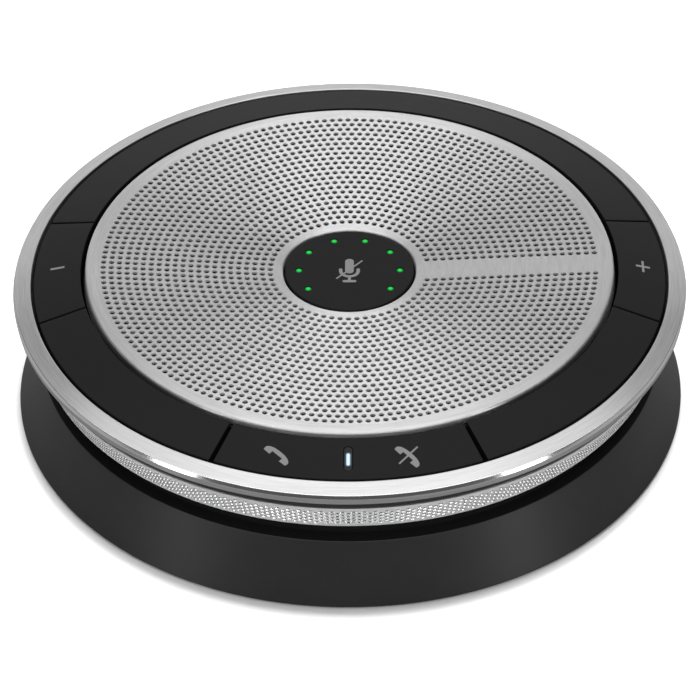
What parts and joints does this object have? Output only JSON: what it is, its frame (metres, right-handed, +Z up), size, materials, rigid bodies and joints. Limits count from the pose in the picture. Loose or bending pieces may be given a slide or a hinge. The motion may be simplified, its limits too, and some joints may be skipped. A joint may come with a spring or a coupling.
{
  "type": "conference speakerphone",
  "caption": "Round low desk speakerphone with a dished steel grille, a ring of black call and volume keys, a central mute button and a flared black base.",
  "frame": {"origin": "centre of the footprint on the table, at the underside of the rubber foot", "axes": "+Z up, -Y towards the user at the call key, +X towards the volume-up key"},
  "size_m": [0.1106, 0.1106, 0.0255],
  "materials": {
    "rim_steel": "circumferentially brushed stainless steel",
    "band_steel": "brushed stainless sheet with a fine staggered perforation",
    "grille_steel": "circumferentially brushed stainless sheet, perforated",
    "ring_black": "satin black moulding",
    "key_black": "satin black key tops with light grey symbols",
    "status_window": "smoked clear window over a white light",
    "led_green": "lit green light guide",
    "acoustic_cloth": "black acoustic cloth",
    "damper_cloth": "resin-stiffened woven damper",
    "housing_black": "textured black moulding",
    "base_black": "soft-touch black with a very fine grain",
    "rubber": "matt black rubber",
    "circuit_board": "green solder mask on glass-fibre board",
    "component_black": "moulded component package",
    "plated_steel": "zinc-plated pressed steel",
    "switch_metal": "plated tactile switch can",
    "screw_steel": "zinc-plated screw steel",
    "ferrite": "sintered magnet",
    "paper_cone": "coated paper cone",
    "copper_winding": "enamelled copper winding"
  },
  "bodies": {
    "base": {"amplifier_chip": "component_black", "answer_switch": "switch_metal", "audio_processor": "component_black", "board_screw_1": "screw_steel", "board_screw_2": "screw_steel", "board_screw_3": "screw_steel", "bottom_cover": "housing_black", "bottom_screw_1": "screw_steel", "bottom_screw_2": "screw_steel", "bottom_screw_3": "screw_steel", "bottom_screw_4": "screw_steel", "cable_gland": "rubber", "control_ring": "ring_black", "end_call_switch": "switch_metal", "grille_cloth": "acoustic_cloth", "head_screw_1": "screw_steel", "head_screw_2": "screw_steel", "head_screw_3": "screw_steel", "head_screw_4": "screw_steel", "key_board": "circuit_board", "lower_housing": "base_black", "main_board": "circuit_board", "microphone_boot": "rubber", "microphone_capsule": "plated_steel", "mute_board": "circuit_board", "mute_switch": "switch_metal", "outer_rim": "rim_steel", "rubber_foot": "rubber", "side_band": "band_steel", "speaker_cone": "paper_cone", "speaker_dust_cap": "paper_cone", "speaker_frame": "plated_steel", "speaker_gasket": "rubber", "speaker_grille": "grille_steel", "speaker_magnet": "ferrite", "speaker_screw_1": "screw_steel", "speaker_screw_2": "screw_steel", "speaker_screw_3": "screw_steel", "speaker_screw_4": "screw_steel", "speaker_spider": "damper_cloth", "speaker_surround": "rubber", "speaker_top_plate": "plated_steel", "speaker_yoke": "plated_steel", "status_led": "component_black", "status_light_pipe": "status_window", "upper_housing": "housing_black", "voice_coil": "copper_winding", "volume_down_switch": "switch_metal", "volume_up_switch": "switch_metal", "wire_header": "component_black"},
    "volume_up": {"volume_up_key": "key_black"},
    "volume_down": {"volume_down_key": "key_black"},
    "call_rocker": {"call_key": "key_black"},
    "mute": {"mute_button": "key_black", "mute_light_guide": "led_green"}
  },
  "joints": [
    {"name": "volume_up_press", "type": "slide", "parent": "base", "child": "volume_up", "axis": [0, 0, -1], "range_m": [0, 0.0005], "stiffness_N_per_m": 1200, "springref_m": -0.0003},
    {"name": "volume_down_press", "type": "slide", "parent": "base", "child": "volume_down", "axis": [0, 0, -1], "range_m": [0, 0.0005], "stiffness_N_per_m": 1200, "springref_m": -0.0003},
    {"name": "call_rock", "type": "hinge", "parent": "base", "child": "call_rocker", "pos_m": [0, -0.0477, 0.0223], "axis": [0, 1, 0], "range_deg": [-1.3, 1.3], "stiffness_Nm_per_rad": 0.6},
    {"name": "mute_press", "type": "slide", "parent": "base", "child": "mute", "axis": [0, 0, -1], "range_m": [0, 0.0005], "stiffness_N_per_m": 1200, "springref_m": -0.0003}
  ]
}
